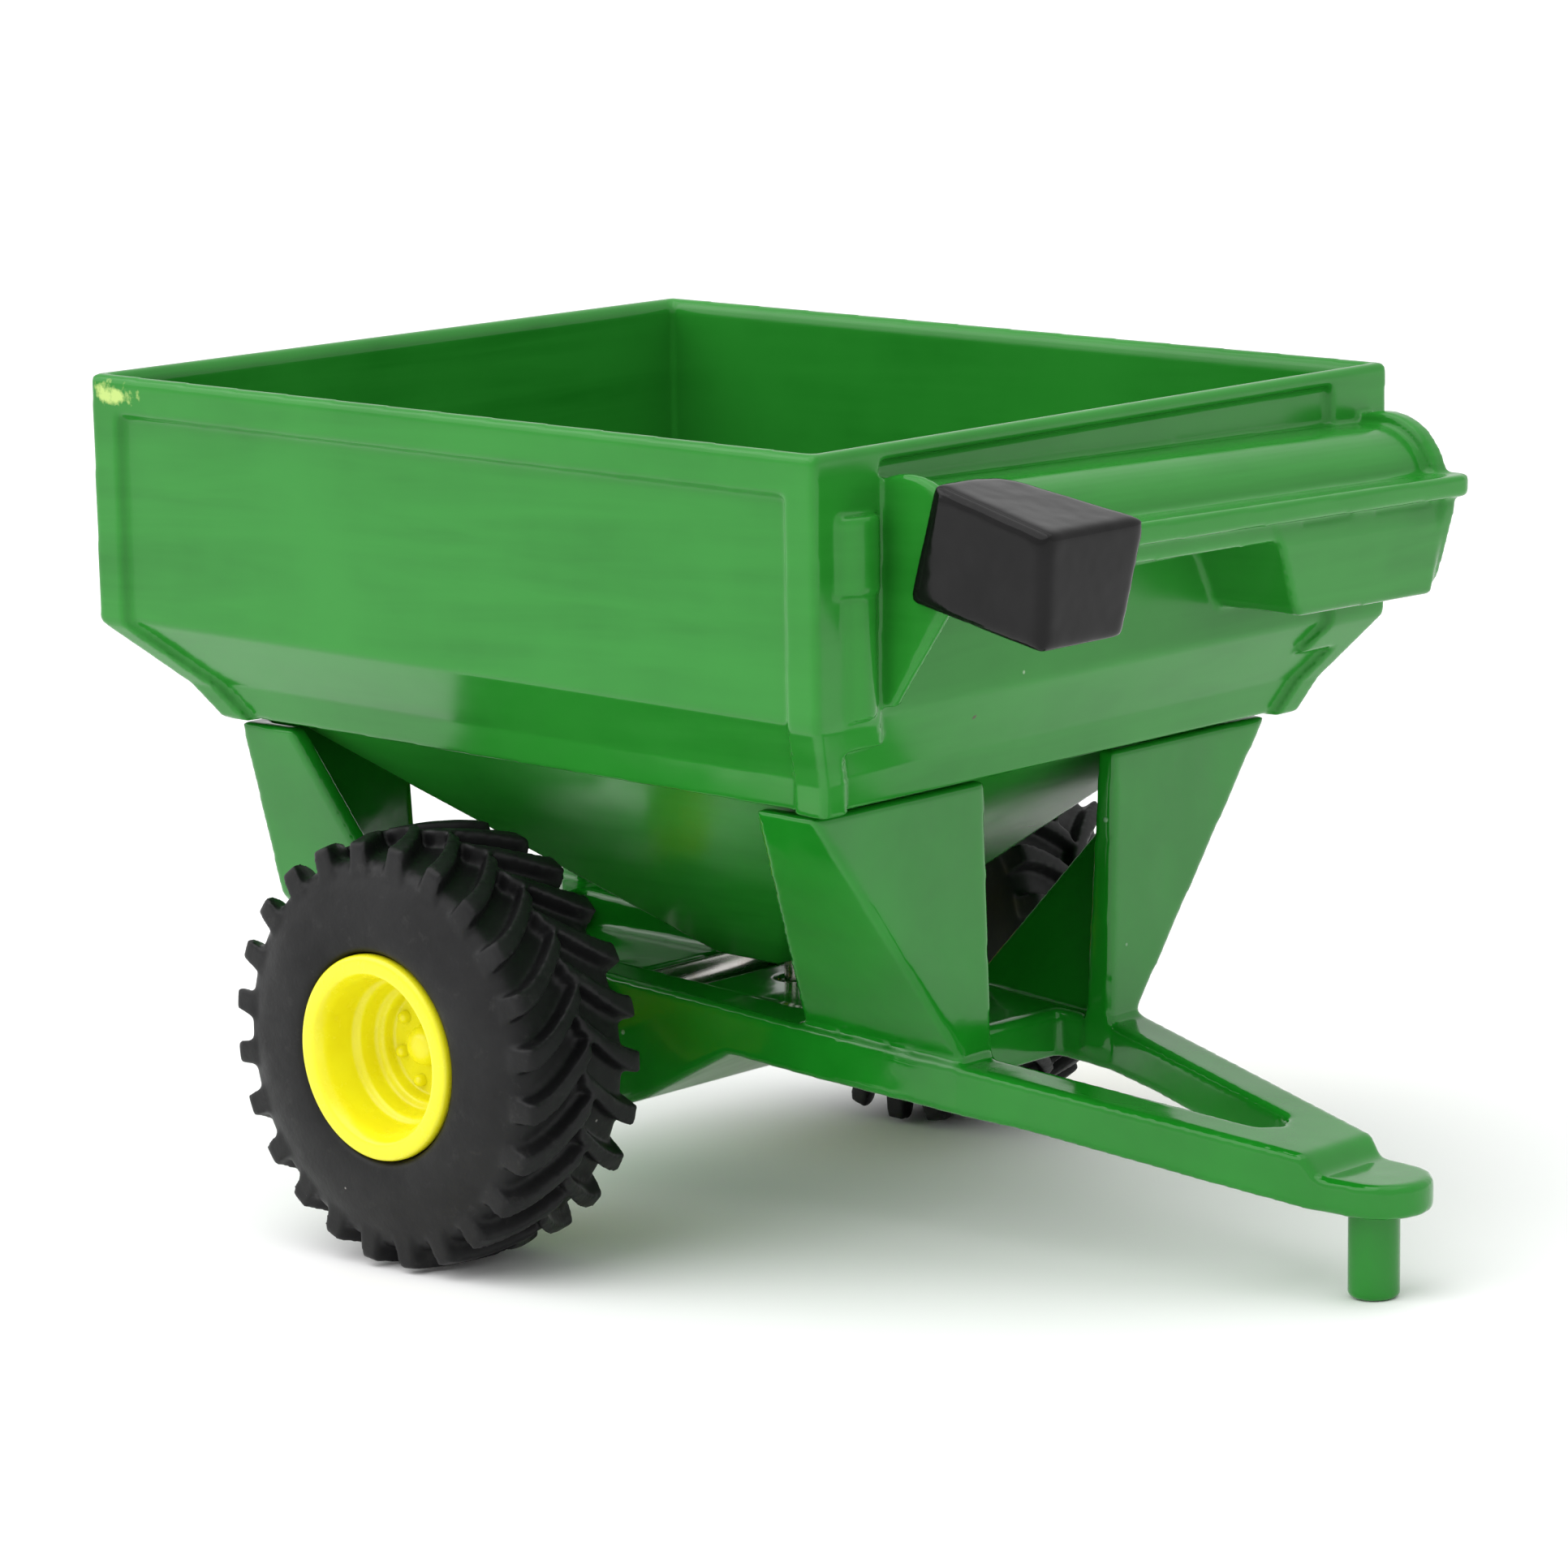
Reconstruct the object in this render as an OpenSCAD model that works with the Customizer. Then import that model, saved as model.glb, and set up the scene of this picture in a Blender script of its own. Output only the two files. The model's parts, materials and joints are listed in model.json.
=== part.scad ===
// Toy grain cart, 1:64 class, standing on its two tyres and its hitch pin.
// X forward to the hitch, Y to the left, Z up, origin on the ground under the middle of the cart.

/* [Hopper] */
// height of the rim over the ground, cart held level
rim_h = 59; // [57:0.5:62]
// rim, rear edge behind the axle
rim_rear = 29.8; // [28:0.1:32]
// rim, front edge ahead of the axle
rim_front = 38.9; // [38:0.1:40]
// rim width over both sides
rim_w = 58.5; // [57:0.5:60]
// wall thickness of the moulding
wall = 1.3; // [1.1:0.1:1.6]
// height of the crease where the walls turn inward
crease_h = 41.5; // [41:0.1:42.5]
// depth that the side panels are set back from the rim band and corner posts
panel_in = 0.6; // [0.4:0.05:0.7]
// height of the rim band
band_h = 2.8; // [2.4:0.1:3.4]
// corner post width on the side faces
post_side = 2.8; // [2.4:0.1:3.4]
// corner post width on the front and rear faces
post_end = 6.2; // [5.6:0.1:6.4]

/* [Auger housing] */
// how far the auger housing falls from right to left
auger_fall = 1.45; // [0:0.05:2]
// radius of the half-round housing
auger_r = 4; // [3.7:0.1:4.2]
// radius of the two end flanges
flange_r = 4.9; // [4.7:0.1:5.1]

/* [Spout] */
// front edge of the spout ahead of the axle
spout_x = 53.4; // [50:0.2:56]
// width of the spout mouth
spout_w = 9.6; // [8:0.2:10]

/* [Frame casting] */
// width over the two rails
rail_w = 20.6; // [19.6:0.2:21.4]
// thickness of the post plates
plate_t = 1.5; // [1.2:0.1:1.8]
// hitch pin position ahead of the axle
pin_x = 60.3; // [59:0.1:61]
// hitch pin radius
pin_r = 1.7; // [1.5:0.05:1.9]
// height of the pin tip over the ground, cart held level
pin_tip = 2.7; // [2:0.1:3.4]

/* [Wheels] */
// tyre radius over the lugs
wheel_r = 15; // [14.6:0.1:15.2]
// tyre width over the lug ends
tyre_w = 10.4; // [9.6:0.1:11]
// distance from the middle line to the middle of each tyre
track_half = 26; // [25.8:0.1:26.6]
// number of lugs on each half of a tyre
lugs = 24; // [20:1:28]
// bolts in the bolt circle of a rim
bolts = 7; // [6:1:8]
// axle radius
axle_r = 1.2; // [1.1:0.05:1.2]

/* [Hidden] */
$fn = 64;
axle_h = wheel_r;
rim_half = rim_w / 2;
base_z = 34.6;
band_top = 37.1;
step_h = 39.5;
funnel_z = 17.9;
// resting pitch, from the rounded lower front edge of the hitch pin touching the ground
tip_round = 0.4;
tip_dx = pin_x + pin_r - tip_round;
tip_dz = axle_h - pin_tip - tip_round;
pitch = asin((wheel_r - tip_round) / sqrt(tip_dx * tip_dx + tip_dz * tip_dz)) - atan2(tip_dz, tip_dx);
// ends of the standing cart, used to put the origin under its middle
nose_r = 3.4;
nose_x = 60.8;
nose_low = 8.65;
ahead = nose_x * cos(pitch) + (nose_low - axle_h) * sin(pitch) + nose_r * cos(pitch);
behind = rim_rear * cos(pitch) - (crease_h - axle_h) * sin(pitch);
mid_x = (ahead - behind) / 2;
bore_gap = 0.05;

module stand() {
  translate([-mid_x, 0, axle_h]) rotate([0, pitch, 0]) translate([0, 0, -axle_h]) children();
}

// a side outline in X and Z, drawn across the cart between two Y values
module across(y0, y1, pts) {
  translate([0, y1, 0]) rotate([90, 0, 0]) linear_extrude(y1 - y0) polygon(pts);
}

// an end outline in Y and Z, drawn along the cart between two X values
module along(x0, x1, pts) {
  translate([x0, 0, 0]) rotate([90, 0, 90]) linear_extrude(x1 - x0) polygon(pts);
}

// outline of the bin seen from the side, set in by t; lift raises the slopes for each mm of t
function side_outline(t, lift, bev, top) =
  let (r = [rim_rear, 24.6, 22.5, 20.1], f = [rim_front, 36.0, 34.9, 31.2], z = [crease_h, band_top, base_z, base_z])
  concat([[-r[0] + t + bev, top], [-r[0] + t, top - bev]],
    [for (i = [0:3]) [-r[i] + t, z[i] + t * lift]],
    [[6.2 + t * 0.6, funnel_z + (lift > 0 ? t : 0)], [12.8 - t * 0.6, funnel_z + (lift > 0 ? t : 0)]],
    [for (i = [3:-1:0]) [f[i] - t, z[i] + t * lift]],
    [[f[0] - t, top - bev], [f[0] - t - bev, top]]);

// the same seen from the end
function end_outline(t, lift, bev, top) =
  let (y = [rim_half, 25.55, 24.35, 22.2], z = [crease_h, band_top, base_z, base_z])
  concat([[-y[0] + t + bev, top], [-y[0] + t, top - bev]],
    [for (i = [0:3]) [-y[i] + t, z[i] + t * lift]],
    [[-5.2 + t * 0.6, funnel_z + (lift > 0 ? t : 0)], [5.2 - t * 0.6, funnel_z + (lift > 0 ? t : 0)]],
    [for (i = [3:-1:0]) [y[i] - t, z[i] + t * lift]],
    [[y[0] - t, top - bev], [y[0] - t - bev, top]]);

module bin_shape(t, bev, top) {
  intersection() {
    across(-40, 40, side_outline(t, 0.4, bev, top));
    along(-40, 50, end_outline(t, 0.4, bev, top));
  }
}

module below(z) {
  intersection() {
    children();
    translate([-60, -60, z - 90]) cube([140, 120, 90]);
  }
}

module bin() {
  window_top = rim_h - band_h;
  difference() {
    union() {
      bin_shape(panel_in, 0, rim_h - 0.5);
      // rim band, corner posts and corner ribs: the full shape with a window cut in each face
      difference() {
        intersection() {
          bin_shape(0, 0.25, rim_h);
          translate([-60, -60, base_z + 0.1]) cube([140, 120, 60]);
        }
        below(window_top) across(-60, 60, side_outline(post_side, 0, 0, rim_h + 1));
        // the rear window stops at the rim band, the front one runs up nearly to the rim
        difference() {
          union() {
            below(window_top) along(-60, 0, end_outline(post_end, 0, 0, rim_h + 1));
            below(rim_h - 1) along(-1, 80, end_outline(post_end, 0, 0, rim_h + 1));
          }
          below(step_h) translate([-60, -60, 0]) cube([140, 120, 60]);
        }
        below(step_h) along(-60, 80, end_outline(post_side - 0.4, 0, 0, rim_h + 1));
      }
    }
    bin_shape(wall, 0, rim_h + 1);
    // inner bevel of the rim
    intersection() {
      across(-40, 40, [
        [-rim_rear + 0.75, rim_h + 0.1], [-rim_rear + wall + 0.1, rim_h - 0.8],
        [rim_front - wall - 0.1, rim_h - 0.8], [rim_front - 0.75, rim_h + 0.1]]);
      along(-40, 50, [
        [-rim_half + 0.75, rim_h + 0.1], [-rim_half + wall + 0.1, rim_h - 0.8],
        [rim_half - wall - 0.1, rim_h - 0.8], [rim_half - 0.75, rim_h + 0.1]]);
    }
  }
}

auger_x = 40.9;
auger_z = 51.8;
wall_x = rim_front - wall + 0.1;
peg_x = 43.6;
flange_out = 23.15;
far_out = 27.2;

// round-topped plate standing out from the front wall, with a tapered foot
module flange_plate(y0, y1, foot) {
  translate([0, y1, 0]) rotate([90, 0, 0]) linear_extrude(y1 - y0) union() {
    translate([auger_x, auger_z]) circle(r = flange_r);
    polygon(concat([[wall_x, auger_z + 3.6], [auger_x - 1.6, auger_z + 3.6], [auger_x + flange_r, auger_z]],
      foot));
  }
}

// turns the housing about its middle so that its left end hangs lower
module fall() {
  translate([0, 0, auger_z]) rotate([-auger_fall, 0, 0]) translate([0, 0, -auger_z]) children();
}

module auger_housing() {
  run = flange_out + far_out;
  intersection() {
    fall() {
      difference() {
        union() {
          // half-round roof and the skirt below it
          translate([auger_x, -flange_out + 0.5, auger_z]) rotate([-90, 0, 0]) cylinder(r = auger_r, h = run - 1);
          translate([wall_x, -flange_out + 0.5, auger_z - 1]) cube([auger_x - wall_x, run - 1, auger_r + 1]);
          translate([wall_x, -flange_out + 0.5, 49.9]) cube([46.0 - wall_x, run - 1, 2.4]);
          // rib along the middle of the housing, its left end rounded
          translate([wall_x, -flange_out + 0.5, 51.3]) cube([47.3 - wall_x, run - 0.9, 1.5]);
          translate([47.3 - 1.3, far_out - 0.4, 51.3]) cylinder(r = 1.3, h = 1.5);
          translate([wall_x, far_out - 0.6, 51.3]) cube([46 - wall_x, 1.5, 1.5]);
        }
        // open channel under the roof
        translate([auger_x, -flange_out + 0.2, auger_z]) rotate([-90, 0, 0])
          cylinder(r = auger_r - 1.1, h = run - 1.4);
        translate([rim_front - 0.1, -flange_out + 0.2, 45]) cube([44.9 - rim_front, run - 1.4, 7]);
      }
      // right flange with its long gusset
      flange_plate(-flange_out, -flange_out + 1.0, [[auger_x + flange_r, 50.4], [44.2, 48.2], [41.7, 44.6],
        [39.8, 41.8], [wall_x, 41.8]]);
      // left flange, which is also the end wall of the boot
      flange_plate(far_out - 1.5, far_out, [[46.5, 50.8], [45.1, 45.6], [43.9, 44.3], [wall_x, 44.3]]);
      // boot
      difference() {
        along(wall_x, 46.1, [[7.7, 50.8], [10.8, 45.2], [11.6, 44.5], [far_out - 1, 44.5], [far_out - 1, 50.8]]);
        along(wall_x - 1, 44.8, [[9.1, 52], [12.2, 45.6], [far_out - 1.4, 45.6], [far_out - 1.4, 52]]);
        across(6, 28, [[46.2, 50.2], [45.3, 44.6], [45.3, 44], [47, 44], [47, 50.2]]);
      }
    }
    translate([wall_x, -40, 40]) cube([20, 80, 30]);
  }
  // round-nosed pad beside the right flange
  intersection() {
    union() {
      translate([rim_front - 0.5, -25.5, 49.9]) cylinder(r = 1.9, h = 5);
      translate([rim_front - 0.5, -25.2, 41.9]) cylinder(r = 1.45, h = 8.1);
    }
    translate([wall_x, -40, 40]) cube([20, 80, 30]);
  }
}

screw_x = 9.5;

module hopper() {
  color([0.09, 0.42, 0.11]) stand() difference() {
    union() {
      bin();
      auger_housing();
      // boss on the floor of the bin that takes the frame screw
      translate([screw_x, 0, 17.9]) cylinder(r = 2.4, h = 5.2);
    }
    translate([screw_x, 0, 10]) cylinder(r = 0.82, h = 12);
    // eye for the spout's peg
    fall() translate([peg_x, -flange_out - 1, auger_z]) rotate([-90, 0, 0]) cylinder(r = 0.85, h = 3.6);
  }
}

// hooded spout that slips over the right end of the auger housing
module spout() {
  y0 = -24;
  color([0.03, 0.03, 0.03]) stand() {
    difference() {
      intersection() {
        across(y0, y0 + spout_w, [[43.9, 57.2], [spout_x, 54.75], [spout_x - 0.6, 47.2], [41.9, 49.3],
          [41.7, 49.6]]);
        along(40, spout_x + 1, [[y0, 60], [y0, 46], [y0 + spout_w - 1.6, 46], [y0 + spout_w - 1.5, 47.4],
          [y0 + spout_w, 54], [y0 + spout_w, 56.4], [y0 + 3, 57.2], [y0 + 2, 60]]);
        linear_extrude(70) polygon([[40, y0], [spout_x + 1, y0], [spout_x + 1, y0 + spout_w],
          [spout_x, y0 + spout_w], [44, -17.8], [40, -17.8]]);
      }
      // room for the flange and the housing, and the hollow behind the end face
      translate([38, -23.25, 44]) cube([9, 12, 12.1]);
      across(-22.9, -10, [[46, 55.1], [spout_x - 1.2, 53.3], [spout_x - 1.7, 46.5], [46, 46.5]]);
    }
    // locating peg that sits in the eye of the flange
    fall() translate([peg_x, -23.9, auger_z]) rotate([-90, 0, 0]) cylinder(r = 0.8, h = 2.5);
  }
}

// plan of the frame casting: rails, tongue and nose
module frame_plan() {
  half = rail_w / 2;
  difference() {
    union() {
      polygon([[-22, -half], [20, -half], [33.1, -half + 0.5], [57.8, -3.7], [57.8, 3.7],
        [33.1, half - 0.5], [20, half], [-22, half]]);
      polygon([[-22, -16], [-9, -12.2], [-5, -half], [-5, half], [-9, 12.2], [-22, 16]]);
      polygon([[57, -3.7], [nose_x, -nose_r], [nose_x, nose_r], [57, 3.7]]);
      translate([nose_x, 0]) circle(r = nose_r);
    }
    // slot in the tongue
    polygon([[28.2, -6.4], [33, -6.1], [50.7, -1.9], [50.7, 1.9], [33, 6.1], [28.2, 6.4]]);
    translate([50.7, 0]) circle(r = 1.9);
  }
}

// one post: an end plate and a leaning side plate; s is the side, x the outer face, d the way inward,
// out the outer edge from the top down to the foot, inner the inner edge
module post(s, x, d, out, inner) {
  w = plate_t;
  n = len(out) - 1;
  foot = out[n][1];
  top = out[0][1];
  // end plate, a little thicker at the foot
  intersection() {
    along(x - 4, x + 4,
      concat([for (p = out) [s * p[0], p[1]]], [[s * inner, foot], [s * (inner + 0.7), top]]));
    across(-30, 30, [[x, top + 1], [x + d * w, top + 1], [x + d * (w + 0.9), foot], [x, foot]]);
  }
  // side plate, narrow at the top and wide at the foot
  intersection() {
    along(d > 0 ? x : x - 16, d > 0 ? x + 16 : x,
      concat([for (p = out) [s * p[0], p[1]]], [for (i = [n:-1:0]) [s * (out[i][0] - w), out[i][1]]]));
    across(-30, 30, [[x, top], [x + d * 5.4, top], [x + d * 14.6, foot + 2], [x + d * 14.6, foot], [x, foot]]);
  }
}

module frame() {
  color([0.07, 0.4, 0.1]) stand() difference() {
    union() {
      intersection() {
        translate([0, 0, 5]) linear_extrude(15) frame_plan();
        across(-20, 20, [[-22, 17.9], [0, 17.1], [33, 15.5], [57.3, 12.3], [58.3, 11.0], [70, 10.9],
          [70, nose_low], [57.8, nose_low], [50.4, 9.7], [37.7, 11.6], [32.5, 12.1], [12.4, 13.1],
          [4.2, 8.6], [2.4, 7.9], [-4, 7.9], [-5.6, 8.6], [-12, 13.5], [-22, 13.9]]);
      }
      for (s = [-1, 1]) {
        post(s, 33.1, -1, [[23.4, 34.35], [9.3, 15.9], [9.3, 13.2]], 5.9);
        post(s, -22, 1, [[23.3, 34.35], [20, 21.4], [15.9, 17], [15.9, 14.2]], 7.9);
      }
      // hitch pin, with a rounded tip and a fillet at its neck
      translate([pin_x, 0, 0]) rotate_extrude() polygon(concat(
        [[0, pin_tip]],
        [for (a = [90:-15:0]) [pin_r - tip_round + tip_round * cos(a), pin_tip + tip_round - tip_round * sin(a)]],
        [for (a = [0:15:90]) [pin_r + 0.35 - 0.35 * cos(a), nose_low - 0.35 + 0.35 * sin(a)]],
        [[pin_r + 0.35, 9.5], [0, 9.5]]));
    }
    // axle bore through the rails, and the open trough between them
    translate([0, -20, axle_h]) rotate([-90, 0, 0]) cylinder(r = axle_r + bore_gap, h = 40);
    translate([-3.6, -6.5, axle_h - axle_r - 0.4]) cube([9.2, 13, 5]);
    // lower decks between the rails, behind and ahead of the trough
    translate([-18, -6.5, axle_h + 0.2]) cube([15, 13, 4]);
    across(-6.4, 6.4, [[5, 16.4], [28.3, 16.1], [28.3, 22], [5, 22]]);
    // screw hole in the web under the bin, with a flat seat underneath
    translate([screw_x, 0, 5]) cylinder(r = 1.0, h = 15);
    translate([screw_x, 0, 5]) cylinder(r = 2.0, h = 10);
  }
}

// the screw that holds the hopper down, its head underneath
module frame_screw() {
  color([0.6, 0.6, 0.62]) stand() difference() {
    union() {
      translate([screw_x, 0, 13.75]) cylinder(r = 1.6, h = 1.2);
      translate([screw_x, 0, 14.5]) cylinder(r = 0.78, h = 7.2);
    }
    for (a = [0, 90]) translate([screw_x, 0, 13.75]) rotate([0, 0, a]) cube([1.8, 0.35, 0.9], center = true);
  }
}

module axle() {
  color([0.7, 0.7, 0.72]) stand() translate([0, -track_half - 1, axle_h]) rotate([-90, 0, 0])
    cylinder(r = axle_r, h = 2 * track_half + 2);
}

// wheel parts are drawn with Z along the turning axis, the outer face up
lip_out = 6;
sleeve = rail_w / 2 + 0.5 - track_half;
module rim_body() {
  difference() {
    union() {
      rotate_extrude() polygon([[0, lip_out - 4.0], [0.8, lip_out - 4.1], [1.3, lip_out - 4.5],
        [1.5, lip_out - 5.6], [3.7, lip_out - 5.6], [3.8, lip_out - 4.7], [4.5, lip_out - 4.6],
        [4.65, lip_out - 3.3], [5.2, lip_out - 3.1], [5.4, lip_out - 0.9], [5.75, lip_out - 0.15],
        [5.95, lip_out], [6.85, lip_out], [7.1, lip_out - 0.25], [7.1, lip_out - 1.0], [6.6, lip_out - 1.2],
        [6.6, -4.1], [7.0, -4.3], [7.0, -4.9], [5.9, -4.9], [5.7, -2.6], [2.2, -2.4], [2.2, sleeve], [0, sleeve]]);
      for (i = [0:bolts - 1]) rotate([0, 0, 147 + i * 360 / bolts]) translate([2.85, 0, lip_out - 5.7])
        cylinder(r = 0.42, h = 0.75, $fn = 24);
    }
    translate([0, 0, sleeve - 1]) cylinder(r = axle_r + 0.02, h = 2.1 - sleeve);
  }
}

module tyre_body() {
  half = tyre_w / 2;
  tread = wheel_r - 1.35;
  rotate_extrude() polygon([[6.65, -half + 1.2], [7.4, -half + 0.3], [9, -half + 0.1], [12.2, -half + 0.1],
    [13.2, -half + 0.4], [tread - 0.15, -half + 1.1], [tread, 0], [tread - 0.15, half - 1.1],
    [13.2, half - 0.4], [12.2, half - 0.1], [11, half + 0.35], [9, half + 0.6], [7.6, half + 0.55],
    [7.15, half + 0.3], [7.15, half - 0.5], [6.65, half - 0.6]]);
  intersection() {
    rotate_extrude() polygon([[12.2, -half + 0.3], [12.8, -half], [14.3, -half + 0.15], [wheel_r, -half + 0.75],
      [wheel_r, half - 0.75], [14.3, half - 0.15], [12.8, half], [12.2, half - 0.3]]);
    for (s = [-1, 1], i = [0:lugs - 1]) rotate([0, 0, (i + (s > 0 ? 0.5 : 0)) * 360 / lugs])
      translate([12, 0, 0]) rotate([0, 90, 0]) linear_extrude(wheel_r - 11) polygon([
        [s * -0.25, 2.7], [s * 0.3, 3.5], [s * 2.6, 2.0], [s * (half - 0.5), 0.75], [s * (half + 0.1), 0.65],
        [s * (half + 0.1), -0.75], [s * (half - 0.6), -0.65], [s * 2.1, 0.6]]);
  }
}

module rim_right() {
  color([0.85, 0.82, 0.03]) stand() translate([0, -track_half, axle_h]) rotate([90, 0, 0]) rim_body();
}

module rim_left() {
  color([0.85, 0.82, 0.03]) stand() translate([0, track_half, axle_h]) rotate([-90, 0, 0]) rim_body();
}

module tyre_right() {
  color([0.04, 0.04, 0.04]) stand() translate([0, -track_half, axle_h]) rotate([90, 0, 0]) tyre_body();
}

module tyre_left() {
  color([0.04, 0.04, 0.04]) stand() translate([0, track_half, axle_h]) rotate([-90, 0, 0]) tyre_body();
}

hopper();
spout();
frame();
frame_screw();
axle();
rim_right();
rim_left();
tyre_right();
tyre_left();
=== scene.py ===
import json
import math
import bmesh
import bpy
import numpy as np
from mathutils import Matrix, Vector
from mathutils.bvhtree import BVHTree
from mathutils.kdtree import KDTree


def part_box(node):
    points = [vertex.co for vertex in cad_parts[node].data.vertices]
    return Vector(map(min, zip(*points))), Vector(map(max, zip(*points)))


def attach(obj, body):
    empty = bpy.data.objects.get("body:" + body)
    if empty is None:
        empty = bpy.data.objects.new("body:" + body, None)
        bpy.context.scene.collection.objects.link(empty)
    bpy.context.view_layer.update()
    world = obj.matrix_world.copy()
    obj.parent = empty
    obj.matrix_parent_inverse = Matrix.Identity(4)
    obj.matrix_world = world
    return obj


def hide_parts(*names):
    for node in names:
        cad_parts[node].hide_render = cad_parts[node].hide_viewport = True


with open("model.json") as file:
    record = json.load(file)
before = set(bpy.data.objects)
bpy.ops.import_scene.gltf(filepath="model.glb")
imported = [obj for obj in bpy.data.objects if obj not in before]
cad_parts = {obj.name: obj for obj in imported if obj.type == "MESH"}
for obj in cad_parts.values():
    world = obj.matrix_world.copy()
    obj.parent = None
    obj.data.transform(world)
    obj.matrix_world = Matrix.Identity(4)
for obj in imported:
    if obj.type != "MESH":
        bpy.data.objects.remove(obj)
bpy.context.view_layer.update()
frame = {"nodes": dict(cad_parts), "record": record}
record = frame["record"]
nodes = frame["nodes"]
mm = 0.001
print("frame loaded:", sorted(nodes))

# the cart stands a little nose-down; its own level frame has the axle at x = 0
hitchMount = next(m for m in record["mounts"] if m["name"] == "hitch_pin")
restPitch = math.asin(-hitchMount["axis"][0])
axleLow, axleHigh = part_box("axle")
axleMid = (axleLow + axleHigh) / 2
cartToWorld = (Matrix.Translation(axleMid) @ Matrix.Rotation(restPitch, 4, "Y")
               @ Matrix.Translation((0, 0, -axleMid.z)))


def cartPoint(x, y, z):
    # a point given in the cart's level frame, in millimetres
    return cartToWorld @ Vector((x * mm, y * mm, z * mm))


def newMaterial(name):
    material = bpy.data.materials.new(name)
    material.use_nodes = True
    tree = material.node_tree
    return material, tree, tree.nodes["Principled BSDF"]


def addNode(tree, kind, settings=None, **sockets):
    node = tree.nodes.new(kind)
    for key, value in (settings or {}).items():
        setattr(node, key, value)
    for key, value in sockets.items():
        socket = node.inputs[int(key[1:]) if key[0] == "i" and key[1:].isdigit() else key.replace("_", " ")]
        if isinstance(value, bpy.types.NodeSocket):
            tree.links.new(value, socket)
        else:
            socket.default_value = value
    return node


def objectPlace(tree, stretch=(1, 1, 1), turn=(0, 0, 0)):
    place = addNode(tree, "ShaderNodeTexCoord")
    return addNode(tree, "ShaderNodeMapping", Vector=place.outputs["Object"],
                   Scale=stretch, Rotation=turn).outputs[0]


def noise(tree, place, scale, detail=3.0, roughness=0.55, distortion=0.0):
    return addNode(tree, "ShaderNodeTexNoise", Vector=place, Scale=scale, Detail=detail,
                   Roughness=roughness, Distortion=distortion).outputs["Fac"]


def remap(tree, value, low, high, toLow=0.0, toHigh=1.0):
    return addNode(tree, "ShaderNodeMapRange", i0=value, i1=low, i2=high, i3=toLow, i4=toHigh).outputs[0]


def math2(tree, operation, a, b):
    return addNode(tree, "ShaderNodeMath", {"operation": operation}, i0=a, i1=b).outputs[0]


def mixColour(tree, factor, a, b):
    # a and b are colours or sockets
    node = addNode(tree, "ShaderNodeMix", {"data_type": "RGBA"})
    for index, value in ((0, factor), (6, a), (7, b)):
        if isinstance(value, bpy.types.NodeSocket):
            tree.links.new(value, node.inputs[index])
        else:
            node.inputs[index].default_value = (*value, 1) if index else value
    return node.outputs[2]


def bump(tree, shader, layers):
    # layers: (height, strength, distance in mm), the finest last
    normal = None
    for height, strength, distance in layers:
        node = addNode(tree, "ShaderNodeBump", Height=height, Strength=strength, Distance=distance * mm)
        if normal is not None:
            tree.links.new(normal, node.inputs["Normal"])
        normal = node.outputs[0]
    tree.links.new(normal, shader.inputs["Normal"])


def specks(tree, place, scale, size, share):
    # scattered small dots: a share of the cells, each with a dot of the given size
    cells = addNode(tree, "ShaderNodeTexVoronoi", Vector=place, Scale=scale)
    dot = remap(tree, cells.outputs["Distance"], size, size * 0.6)
    red = addNode(tree, "ShaderNodeSeparateColor", i0=cells.outputs["Color"]).outputs[0]
    return math2(tree, "MULTIPLY", dot, math2(tree, "LESS_THAN", red, share))


hopperFinish = {"colour": (0.016, 0.208, 0.018), "pale": (0.024, 0.248, 0.026),
                "deep": (0.010, 0.166, 0.012), "roughness": 0.13, "darkSpeck": (0.07, 0.06, 0.03),
                "paleSpeck": (0.40, 0.55, 0.36), "gouge": (0.46, 0.62, 0.17),
                "gougeAt": (-27.3, -29.2, 57.7)}


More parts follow.
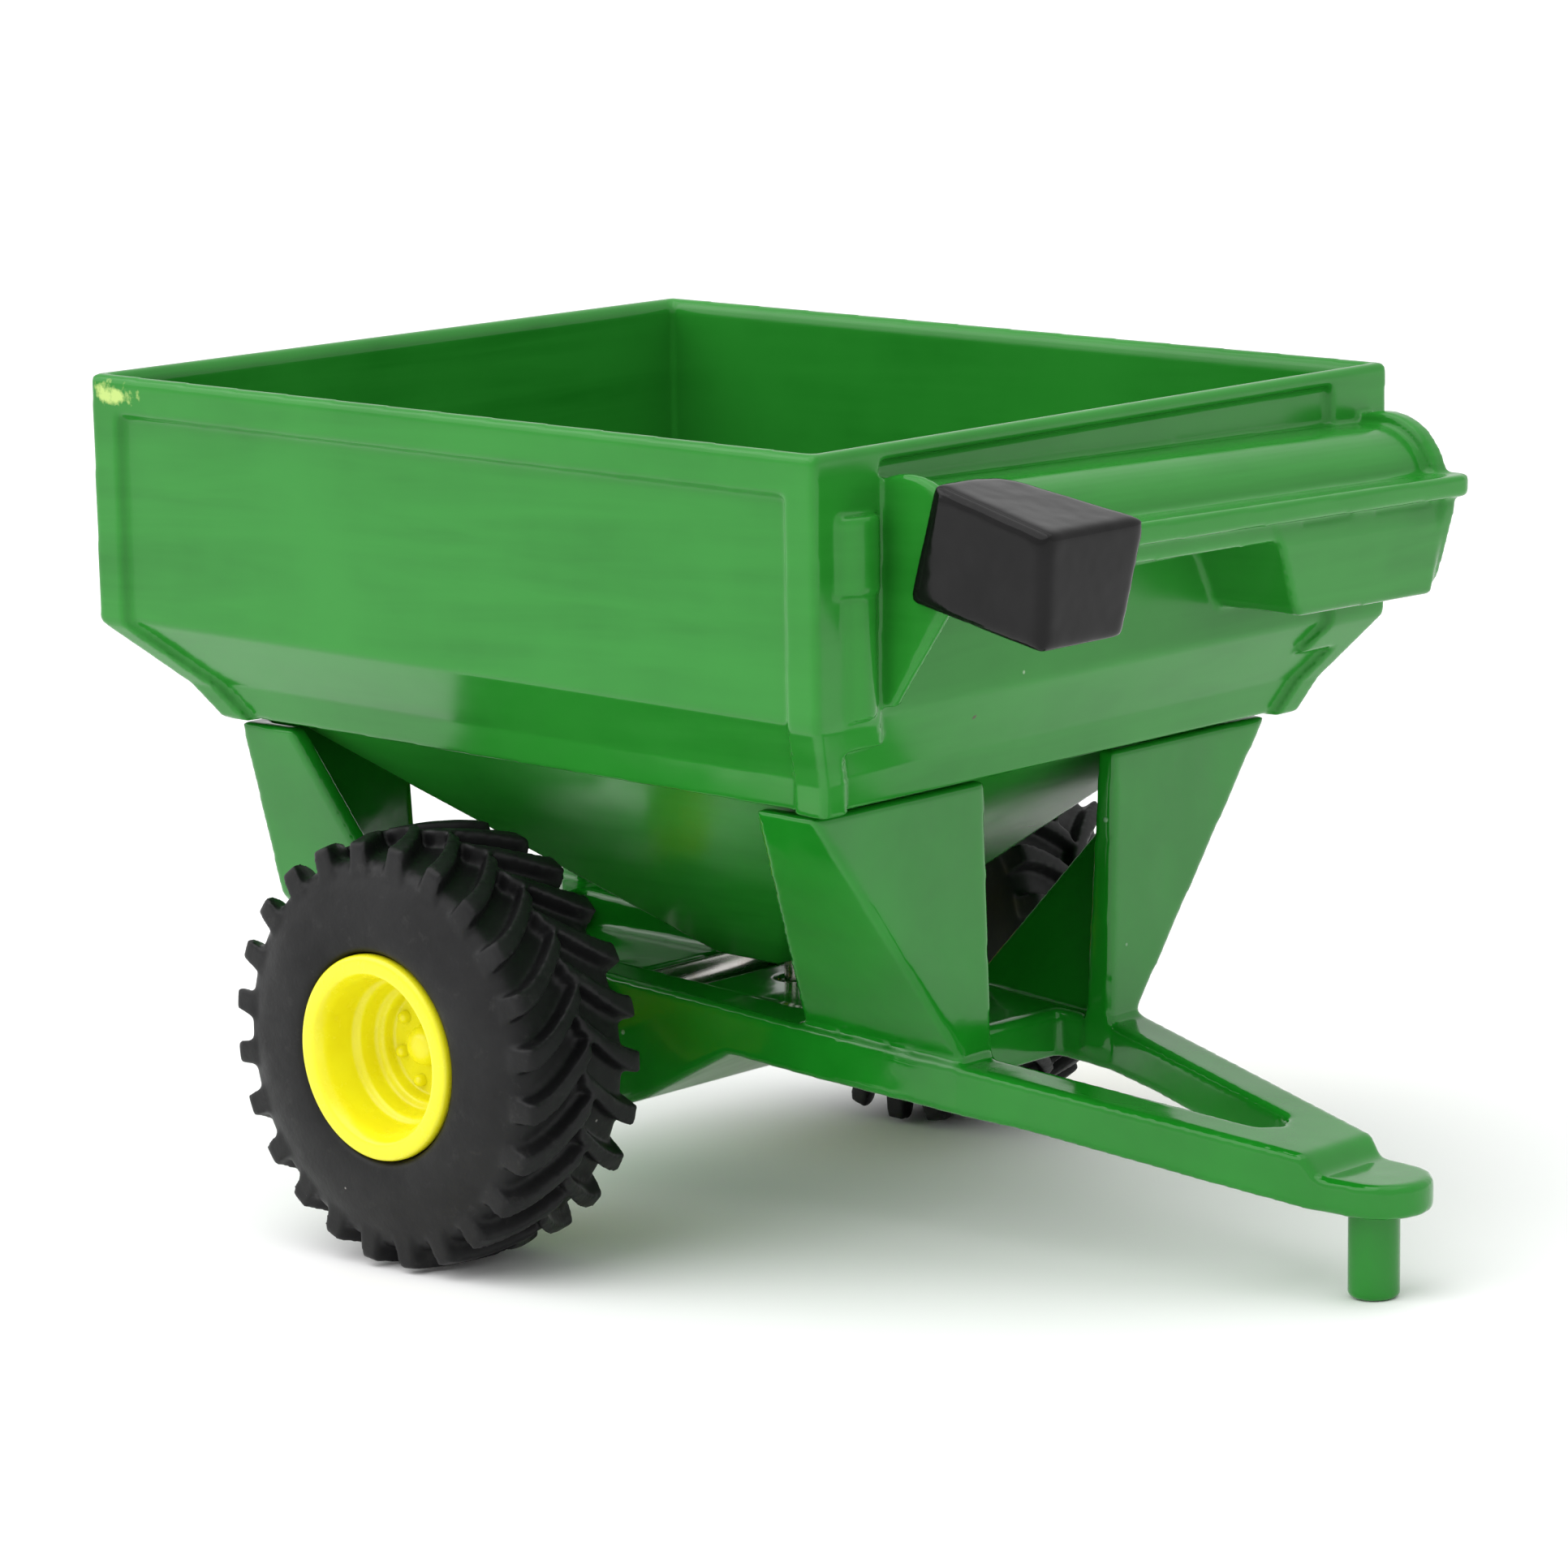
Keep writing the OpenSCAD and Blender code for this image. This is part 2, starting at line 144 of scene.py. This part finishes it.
def hopperPlastic():
    s = hopperFinish
    material, tree, shader = newMaterial("greenMouldedPlastic")
    place = objectPlace(tree)
    streaks = objectPlace(tree, (0.12, 0.12, 1.5))
    cloud = remap(tree, noise(tree, place, 55, 4), 0.35, 0.65)
    colour = mixColour(tree, cloud, s["deep"], s["pale"])
    flow = remap(tree, noise(tree, streaks, 260, 3, 0.6, 0.4), 0.36, 0.64)
    colour = mixColour(tree, math2(tree, "MULTIPLY", flow, 0.8), colour, s["pale"])
    colour = mixColour(tree, 0.3, colour, s["colour"])
    darkSpecks = specks(tree, place, 150, 0.045, 0.16)
    paleSpecks = specks(tree, objectPlace(tree, (1, 1, 1), (0.4, 0.8, 0.2)), 230, 0.04, 0.1)
    colour = mixColour(tree, darkSpecks, colour, s["darkSpeck"])
    colour = mixColour(tree, math2(tree, "MULTIPLY", paleSpecks, 0.7), colour, s["paleSpeck"])
    # a pale gouge where the rear right corner of the rim has been knocked
    wobble = noise(tree, place, 900, 4, 0.6)
    squeeze = Vector((0.42, 1, 1.2))
    apart = addNode(tree, "ShaderNodeVectorMath", {"operation": "DISTANCE"}, i0=objectPlace(tree, squeeze),
                    i1=cartPoint(*s["gougeAt"]) * squeeze).outputs["Value"]
    gouge = remap(tree, math2(tree, "ADD", apart, math2(tree, "MULTIPLY", wobble, 0.0026)), 0.0023, 0.0018)
    colour = mixColour(tree, gouge, colour, s["gouge"])
    tree.links.new(colour, shader.inputs["Base Color"])
    smudge = remap(tree, noise(tree, objectPlace(tree, (1, 1, 2.2)), 120, 5, 0.65), 0.42, 0.75, 0, 0.10)
    rough = math2(tree, "ADD", smudge, s["roughness"])
    rough = math2(tree, "ADD", rough, math2(tree, "MULTIPLY", flow, 0.04))
    tree.links.new(rough, shader.inputs["Roughness"])
    shader.inputs["Subsurface Weight"].default_value = 0.08
    shader.inputs["Subsurface Radius"].default_value = (0.2, 1.0, 0.2)
    shader.inputs["Subsurface Scale"].default_value = 0.0009
    shader.inputs["Specular IOR Level"].default_value = 0.32
    bump(tree, shader, [(noise(tree, place, 60, 2), 0.10, 0.5), (noise(tree, streaks, 900, 2), 0.05, 0.05),
                        (darkSpecks, 0.3, 0.05), (gouge, -0.6, 0.15)])
    return material


paintFinish = {"colour": (0.008, 0.205, 0.012), "pale": (0.012, 0.240, 0.016),
               "deep": (0.005, 0.150, 0.007), "roughness": 0.09}


def framePaint():
    s = paintFinish
    material, tree, shader = newMaterial("greenGlossPaint")
    place = objectPlace(tree)
    cloud = remap(tree, noise(tree, place, 90, 4), 0.35, 0.65)
    colour = mixColour(tree, cloud, s["deep"], s["pale"])
    colour = mixColour(tree, 0.5, colour, s["colour"])
    nibs = specks(tree, place, 260, 0.06, 0.12)
    colour = mixColour(tree, math2(tree, "MULTIPLY", nibs, 0.5), colour, (0.32, 0.5, 0.34))
    tree.links.new(colour, shader.inputs["Base Color"])
    smudge = remap(tree, noise(tree, place, 140, 5, 0.65), 0.4, 0.8, 0, 0.12)
    tree.links.new(math2(tree, "ADD", smudge, s["roughness"]), shader.inputs["Roughness"])
    shader.inputs["Coat Weight"].default_value = 0.12
    shader.inputs["Coat Roughness"].default_value = 0.05
    shader.inputs["Specular IOR Level"].default_value = 0.36
    ripple = noise(tree, place, 110, 2, 0.5, 0.3)
    bump(tree, shader, [(ripple, 0.32, 0.5), (noise(tree, place, 420, 3), 0.10, 0.12), (nibs, 0.5, 0.12)])
    return material


spoutFinish = {"colour": (0.0025, 0.0024, 0.0025), "pale": (0.006, 0.0057, 0.006), "roughness": 0.09}


def spoutPlastic():
    s = spoutFinish
    material, tree, shader = newMaterial("blackSatinPlastic")
    place = objectPlace(tree)
    cloud = remap(tree, noise(tree, place, 210, 5, 0.6), 0.35, 0.7)
    colour = mixColour(tree, cloud, s["colour"], s["pale"])
    tree.links.new(colour, shader.inputs["Base Color"])
    smudge = remap(tree, noise(tree, objectPlace(tree, (1, 1.6, 1)), 260, 5, 0.7, 0.5), 0.45, 0.8, 0, 0.14)
    tree.links.new(math2(tree, "ADD", smudge, s["roughness"]), shader.inputs["Roughness"])
    shader.inputs["Specular IOR Level"].default_value = 0.2
    bump(tree, shader, [(noise(tree, place, 230, 2), 0.3, 0.4), (noise(tree, place, 2300, 3), 0.07, 0.04)])
    return material


rimFinish = {"colour": (0.87, 0.83, 0.016), "deep": (0.80, 0.73, 0.010), "roughness": 0.22}


def rimPlastic():
    s = rimFinish
    material, tree, shader = newMaterial("yellowMouldedPlastic")
    place = objectPlace(tree)
    colour = mixColour(tree, remap(tree, noise(tree, place, 260, 4), 0.3, 0.7), s["deep"], s["colour"])
    dust = specks(tree, place, 700, 0.06, 0.05)
    colour = mixColour(tree, math2(tree, "MULTIPLY", dust, 0.5), colour, (0.12, 0.11, 0.03))
    tree.links.new(colour, shader.inputs["Base Color"])
    smudge = remap(tree, noise(tree, place, 500, 5, 0.65), 0.4, 0.8, 0, 0.14)
    tree.links.new(math2(tree, "ADD", smudge, s["roughness"]), shader.inputs["Roughness"])
    shader.inputs["Subsurface Weight"].default_value = 0.15
    shader.inputs["Subsurface Radius"].default_value = (1.0, 0.8, 0.1)
    shader.inputs["Subsurface Scale"].default_value = 0.0012
    bump(tree, shader, [(noise(tree, place, 320, 2), 0.15, 0.2), (noise(tree, place, 2600, 2), 0.08, 0.04)])
    return material


tyreFinish = {"colour": (0.0045, 0.0045, 0.005), "pale": (0.012, 0.012, 0.0125),
              "dust": (0.035, 0.034, 0.033), "roughness": 0.47}


def tyreRubber():
    s = tyreFinish
    material, tree, shader = newMaterial("blackTyreRubber")
    place = objectPlace(tree)
    cloud = remap(tree, noise(tree, place, 160, 5, 0.6), 0.35, 0.7)
    colour = mixColour(tree, cloud, s["colour"], s["pale"])
    scuff = remap(tree, noise(tree, place, 700, 6, 0.7), 0.58, 0.78, 0, 0.6)
    colour = mixColour(tree, scuff, colour, s["dust"])
    lint = specks(tree, place, 420, 0.05, 0.12)
    colour = mixColour(tree, math2(tree, "MULTIPLY", lint, 0.8), colour, (0.30, 0.29, 0.27))
    tree.links.new(colour, shader.inputs["Base Color"])
    rough = remap(tree, noise(tree, place, 300, 4), 0.3, 0.7, s["roughness"] - 0.1, s["roughness"] + 0.12)
    tree.links.new(rough, shader.inputs["Roughness"])
    shader.inputs["Specular IOR Level"].default_value = 0.22
    bump(tree, shader, [(noise(tree, place, 420, 3), 0.28, 0.2), (noise(tree, place, 3600, 4), 0.3, 0.04)])
    return material


steelFinish = {"colour": (0.62, 0.60, 0.57), "stain": (0.30, 0.24, 0.16), "roughness": 0.16}


def axleSteel():
    s = steelFinish
    material, tree, shader = newMaterial("polishedSteel")
    place = objectPlace(tree, (1, 0.06, 1))
    stain = remap(tree, noise(tree, objectPlace(tree), 380, 5, 0.7), 0.5, 0.75, 0, 0.8)
    tree.links.new(mixColour(tree, stain, s["colour"], s["stain"]), shader.inputs["Base Color"])
    grain = noise(tree, place, 2600, 3)
    rough = remap(tree, grain, 0.3, 0.7, s["roughness"], s["roughness"] + 0.18)
    tree.links.new(rough, shader.inputs["Roughness"])
    shader.inputs["Metallic"].default_value = 1.0
    bump(tree, shader, [(grain, 0.25, 0.03)])
    return material


greenPlastic = hopperPlastic()
greenPaint = framePaint()
blackPlastic = spoutPlastic()
yellowPlastic = rimPlastic()
blackRubber = tyreRubber()
steel = axleSteel()
print("materials made")


def addPiece(name, bm, material, body, replaced, smoothAngle=32):
    bmesh.ops.recalc_face_normals(bm, faces=bm.faces)
    mesh = bpy.data.meshes.new(name)
    bm.to_mesh(mesh)
    bm.free()
    mesh.polygons.foreach_set("use_smooth", [True] * len(mesh.polygons))
    mesh.set_sharp_from_angle(angle=math.radians(smoothAngle))
    mesh.materials.append(material)
    piece = bpy.data.objects.new(name, mesh)
    bpy.context.scene.collection.objects.link(piece)
    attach(piece, body)
    if replaced:
        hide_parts(*replaced)
    return piece


def evenSkin(bm, cell):
    # the same solid, in millimetres, under a skin of small even faces
    mesh = bpy.data.meshes.new("evenSkin")
    bm.to_mesh(mesh)
    holder = bpy.data.objects.new("evenSkin", mesh)
    bpy.context.scene.collection.objects.link(holder)
    remesh = holder.modifiers.new("evenSkin", "REMESH")
    remesh.mode = "VOXEL"
    remesh.voxel_size = cell
    skin = bpy.data.meshes.new_from_object(holder.evaluated_get(bpy.context.evaluated_depsgraph_get()))
    bpy.data.objects.remove(holder)
    bpy.data.meshes.remove(mesh)
    return skin


def edgeMarks(bm, spacing, sharpest):
    # points along every edge sharper than the given angle, ready to be searched
    marks = []
    for edge in bm.edges:
        if len(edge.link_faces) == 2 and edge.calc_face_angle() > math.radians(sharpest):
            a, b = edge.verts[0].co, edge.verts[1].co
            count = max(1, int((a - b).length / spacing))
            marks += [a.lerp(b, k / count) for k in range(count + 1)]
    tree = KDTree(len(marks))
    for index, mark in enumerate(marks):
        tree.insert(mark, index)
    tree.balance()
    return tree


def wornRound(bm, cell, reach, rounds, sharpest=24):
    # every sharp edge is worn round over the reach, and the flats stay exactly where they are
    skin = evenSkin(bm, cell)
    count = len(skin.vertices)
    points = np.empty(count * 3)
    skin.vertices.foreach_get("co", points)
    points = points.reshape(-1, 3)
    if reach:
        surface = BVHTree.FromBMesh(bm)
        marks = edgeMarks(bm, cell * 0.75, sharpest)
        points = np.array([surface.find_nearest(point)[0] for point in points])
        near = np.clip(1 - np.array([marks.find(point)[2] for point in points]) / reach, 0, 1)
        near = near * near * (3 - 2 * near)
    else:
        near = np.ones(count)
    pairs = np.empty(len(skin.edges) * 2, dtype=np.int32)
    skin.edges.foreach_get("vertices", pairs)
    a, b = pairs.reshape(-1, 2).T
    links = np.maximum(np.bincount(a, minlength=count) + np.bincount(b, minlength=count), 1)
    for _ in range(rounds):
        for axis in range(3):
            line = points[:, axis]
            mean = (np.bincount(a, line[b], count) + np.bincount(b, line[a], count)) / links
            points[:, axis] = line + near * 0.55 * (mean - line)
    skin.vertices.foreach_set("co", points.ravel())
    bm.clear()
    bm.from_mesh(skin)
    bpy.data.meshes.remove(skin)
    return bm


def roundedCopy(node, name, material, slot, cell, reach, rounds):
    # the frame's own solid with its edges worn round
    bm = bmesh.new()
    bm.from_mesh(nodes[node].data)
    bmesh.ops.scale(bm, vec=(1 / mm,) * 3, verts=bm.verts)
    bmesh.ops.remove_doubles(bm, verts=bm.verts, dist=0.002)
    bm = wornRound(bm, cell, reach, rounds)
    bmesh.ops.scale(bm, vec=(mm,) * 3, verts=bm.verts)
    return addPiece(name, bm, material, "cart", [node], 180)


# cell is the size of the small faces, reach how far the wear runs from an edge, both in millimetres
hopperLook = {"cell": 0.22, "reach": 0.55, "rounds": 7}
spoutLook = {"cell": 0.18, "reach": 1.6, "rounds": 40}  # a soft, well-rounded hood
frameLook = {"cell": 0.2, "reach": 0.9, "rounds": 15}  # thick paint over a casting

hopper = roundedCopy("hopper", "hopperMoulding", greenPlastic, "green_plastic", **hopperLook)
print("hopper made:", len(hopper.data.vertices), "points")
roundedCopy("spout", "spoutHood", blackPlastic, "black_rubbery", **spoutLook)
roundedCopy("frame", "castFrame", greenPaint, "green_paint", **frameLook)
for name, material in (("axle", steel), ("frame_screw", steel)):
    nodes[name].data.materials.clear()
    nodes[name].data.materials.append(material)
print("spout and frame made")


# a tyre's section as radius and height, its outer face up; the lugs start a little past the crown
tyreSize = {"outer": 15.0, "innerFace": 5.1, "lugs": 24, "lugWidth": 1.3, "sweep": 3.9, "steps": 8,
            "lugStart": -0.35, "lugRun": 5.45, "lugBase": 12.9, "flare": 0.25, "cell": 0.19, "rounds": 3,
            "section": [(6.65, 4.65), (7.15, 4.9), (7.25, 5.45), (7.8, 5.74), (9.2, 5.78), (11, 5.56),
                        (12.3, 5.2), (13.1, 4.85), (13.5, 4.1), (13.62, 2.0), (13.65, 0), (13.62, -2.0),
                        (13.5, -4.0), (13.0, -4.75), (12.0, -5.08), (10, -5.1), (8, -5.05), (7.2, -4.8),
                        (6.65, -4.0)]}
# a rim's outer face as radius and depth below the lip, then its back as radius and height
rimSize = {"lip": 6.0, "bolts": 7, "boltCircle": 2.85, "boltTurn": 147, "edge": 0.28,
           "dish": [(0, 4.0), (0.8, 4.08), (1.3, 4.5), (1.5, 5.6), (3.7, 5.6), (3.8, 4.7), (4.5, 4.6),
                    (4.65, 3.3), (5.2, 3.1), (5.4, 0.9), (5.75, 0.15), (5.95, 0), (6.85, 0), (7.1, 0.25),
                    (7.1, 1.0), (6.6, 1.2)],
           "back": [(6.6, -4.1), (7.0, -4.3), (7.0, -4.9), (5.9, -4.9), (5.7, -2.6), (2.2, -2.4),
                    (2.2, -15.18), (1.23, -15.18)],
           "boltHead": [(0, 4.96), (0.2, 5.0), (0.34, 5.08), (0.42, 5.25), (0.44, 5.7), (0, 5.7)],
           "boreEnd": 1.1}
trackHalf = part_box("tyre_left")[0].y / mm + tyreSize["innerFace"]


def spinProfile(bm, profile, count=144):
    # profile points are (radius, height); a radius of 0 closes on the axis
    rings = []
    for radius, height in profile:
        if radius < 1e-6:
            rings.append([bm.verts.new((0, 0, height))])
            continue
        rings.append([bm.verts.new((radius * math.cos(math.tau * i / count),
                                    radius * math.sin(math.tau * i / count), height))
                      for i in range(count)])
    for a, b in zip(rings, rings[1:]):
        for i in range(count):
            j = (i + 1) % count
            if len(a) == 1:
                bm.faces.new((a[0], b[i], b[j]))
            elif len(b) == 1:
                bm.faces.new((a[i], a[j], b[0]))
            else:
                bm.faces.new((a[i], a[j], b[j], b[i]))
    return rings


def smoothCurve(points, steps=6):
    # passes a soft curve through the points
    result = []
    for i in range(len(points) - 1):
        p0, p1 = points[max(i - 1, 0)], points[i]
        p2, p3 = points[i + 1], points[min(i + 2, len(points) - 1)]
        for k in range(steps):
            t = k / steps
            result.append(tuple(0.5 * (2 * b + (c - a) * t + (2 * a - 5 * b + 4 * c - d) * t * t
                                       + (3 * b - a - 3 * c + d) * t ** 3)
                                for a, b, c, d in zip(p0, p1, p2, p3)))
    result.append(points[-1])
    return result


def roundCorners(points, radius, steps=3):
    # swaps each corner of a profile for a small arc
    result = [points[0]]
    for before, corner, after in zip(points, points[1:], points[2:]):
        ends = []
        for other in (before, after):
            length = math.dist(corner, other)
            share = min(radius, length * 0.45) / length
            ends.append([c + (o - c) * share for c, o in zip(corner, other)])
        for k in range(steps + 1):
            t = k / steps
            result.append(tuple((1 - t) ** 2 * a + 2 * t * (1 - t) * c + t * t * b
                                for a, c, b in zip(ends[0], corner, ends[1])))
    return result + [points[-1]]


def addLug(bm, side, angle):
    # one bar of the tread, swept back from the crown to the shoulder
    s = tyreSize
    sections = []
    for k in range(s["steps"] + 1):
        t = k / s["steps"]
        height = side * (s["lugStart"] + t * s["lugRun"])
        lag = s["sweep"] * (1 - t) ** 1.5
        half = s["lugWidth"] * (0.42 + 0.18 * t)
        top = s["outer"] - 0.02 - 0.35 * t ** 4
        base = s["lugBase"] - 0.3 * t ** 3
        row = []
        for offset, radius in ((-half - s["flare"], base), (-half, top), (half, top),
                               (half + s["flare"], base)):
            turn = angle + (lag + offset) / s["outer"]
            out = height + side * (0.12 if k == s["steps"] and radius == base else 0)
            row.append(bm.verts.new((radius * math.cos(turn), radius * math.sin(turn), out)))
        sections.append(row)
    for a, b in zip(sections, sections[1:]):
        for i in range(4):
            j = (i + 1) % 4
            bm.faces.new((a[i], a[j], b[j], b[i]))
    bm.faces.new(sections[0])
    bm.faces.new(reversed(sections[-1]))


def tyreMesh():
    # drawn in millimetres with the outer face up
    bm = bmesh.new()
    profile = smoothCurve(tyreSize["section"], 5)
    rings = spinProfile(bm, profile)
    first, last = rings[0], rings[-1]
    for i in range(len(first)):
        j = (i + 1) % len(first)
        bm.faces.new((last[i], last[j], first[j], first[i]))
    for i in range(tyreSize["lugs"]):
        for side in (-1, 1):
            addLug(bm, side, math.tau * (i + (0.5 if side > 0 else 0)) / tyreSize["lugs"])
    bmesh.ops.recalc_face_normals(bm, faces=bm.faces)
    bm = wornRound(bm, tyreSize["cell"], 0, tyreSize["rounds"])
    return bm


def rimMesh():
    bm = bmesh.new()
    lip = rimSize["lip"]
    outline = roundCorners([(r, lip - depth) for r, depth in rimSize["dish"]] + rimSize["back"],
                           rimSize["edge"])
    boreRadius = outline[-1][0]
    spinProfile(bm, outline + [(boreRadius, rimSize["boreEnd"]), (0, rimSize["boreEnd"])])
    for i in range(rimSize["bolts"]):
        turn = math.radians(rimSize["boltTurn"]) + math.tau * i / rimSize["bolts"]
        x, y = rimSize["boltCircle"] * math.cos(turn), rimSize["boltCircle"] * math.sin(turn)
        part = bmesh.new()
        spinProfile(part, [(r, lip - depth) for r, depth in rimSize["boltHead"]], 24)
        bmesh.ops.translate(part, verts=part.verts, vec=(x, y, 0))
        joined = bpy.data.meshes.new("bolt")
        part.to_mesh(joined)
        part.free()
        bm.from_mesh(joined)
        bpy.data.meshes.remove(joined)
    return bm


wheelShape = {}
for kind, maker in (("tyre", tyreMesh), ("rim", rimMesh)):
    bm = maker()
    bmesh.ops.recalc_face_normals(bm, faces=bm.faces)
    wheelShape[kind] = bpy.data.meshes.new(kind + "Shape")
    bm.to_mesh(wheelShape[kind])
    bm.free()
for side, sign in (("right", -1), ("left", 1)):
    place = (Matrix.Translation((axleMid.x, sign * trackHalf * mm, axleMid.z))
             @ Matrix.Rotation(restPitch, 4, "Y") @ Matrix.Rotation(-sign * math.pi / 2, 4, "X")
             @ Matrix.Scale(mm, 4))
    for kind, material, slot in (("tyre", blackRubber, "tyre_rubber"),
                                 ("rim", yellowPlastic, "yellow_plastic")):
        bm = bmesh.new()
        bm.from_mesh(wheelShape[kind])
        bmesh.ops.transform(bm, matrix=place, verts=bm.verts)
        addPiece(kind + side.capitalize(), bm, material, "wheelset", [kind + "_" + side],
                 60 if kind == "tyre" else 50)
print("wheels made")

studio = {"floorColour": (0.96, 0.96, 0.96), "world": 0.95, "top": 0.7, "side": 0.8, "window": 1.35}


def makeFloor():
    # a wide flat pale sheet
    bm = bmesh.new()
    wide = 9.0
    corners = [bm.verts.new((x * wide, y * wide, 0)) for x, y in ((-1, -1), (1, -1), (1, 1), (-1, 1))]
    bm.faces.new(corners)
    mesh = bpy.data.meshes.new("studioFloor")
    bm.to_mesh(mesh)
    bm.free()
    material, tree, shader = newMaterial("paleStudioSheet")
    place = objectPlace(tree)
    tint = remap(tree, noise(tree, place, 9, 4), 0.3, 0.7)
    tree.links.new(mixColour(tree, tint, [c * 0.985 for c in studio["floorColour"]], studio["floorColour"]),
                   shader.inputs["Base Color"])
    shader.inputs["Roughness"].default_value = 0.8
    shader.inputs["Specular IOR Level"].default_value = 0.2
    mesh.materials.append(material)
    floor = bpy.data.objects.new("studioFloor", mesh)
    bpy.context.scene.collection.objects.link(floor)


makeFloor()


def addLight(name, place, target, size, power, colour=(1, 1, 1)):
    data = bpy.data.lights.new(name, "AREA")
    data.shape = "RECTANGLE"
    data.size, data.size_y = size
    data.energy = power
    data.color = colour
    light = bpy.data.objects.new(name, data)
    bpy.context.scene.collection.objects.link(light)
    light.location = place
    light.rotation_euler = (Vector(target) - Vector(place)).to_track_quat("-Z", "Y").to_euler()


addLight("topSoftbox", (0.05, 0.02, 0.62), (0, 0, 0.03), (0.6, 0.6), studio["top"])
addLight("leftSoftbox", (-0.62, -0.45, 0.42), (0, 0, 0.03), (0.5, 0.5), studio["side"])

# a broad even light from high on the left, which also keeps the whole sheet white
window = bpy.data.lights.new("windowLight", "SUN")
window.energy = studio["window"]
window.angle = math.radians(70)
windowHolder = bpy.data.objects.new("windowLight", window)
bpy.context.scene.collection.objects.link(windowHolder)
windowHolder.rotation_euler = Vector((0.25, 0.62, -1)).to_track_quat("-Z", "Y").to_euler()

world = bpy.data.worlds.new("studioWorld")
world.use_nodes = True
world.node_tree.nodes["Background"].inputs["Color"].default_value = (1, 1, 1, 1)
world.node_tree.nodes["Background"].inputs["Strength"].default_value = studio["world"]
bpy.context.scene.world = world
bpy.context.scene.view_settings.view_transform = "Standard"

# where the camera stands, in the cart's level frame, and how it looks
viewpoint = {"place": (278.48, -288.56, 108.28), "heading": 43.08, "down": 11.2, "roll": -0.82,
             "lens": 132.33}


def makeCamera():
    data = bpy.data.cameras.new("viewCamera")
    data.sensor_width = 36
    data.lens = viewpoint["lens"]
    data.clip_start = 0.01
    data.clip_end = 20
    camera = bpy.data.objects.new("viewCamera", data)
    bpy.context.scene.collection.objects.link(camera)
    level = (Matrix.Translation(Vector(viewpoint["place"]) * mm)
             @ Matrix.Rotation(math.radians(viewpoint["heading"]), 4, "Z")
             @ Matrix.Rotation(math.radians(90 - viewpoint["down"]), 4, "X")
             @ Matrix.Rotation(math.radians(viewpoint["roll"]), 4, "Z"))
    camera.matrix_world = cartToWorld @ level
    bpy.context.scene.camera = camera


makeCamera()
print("floor, light and camera made")
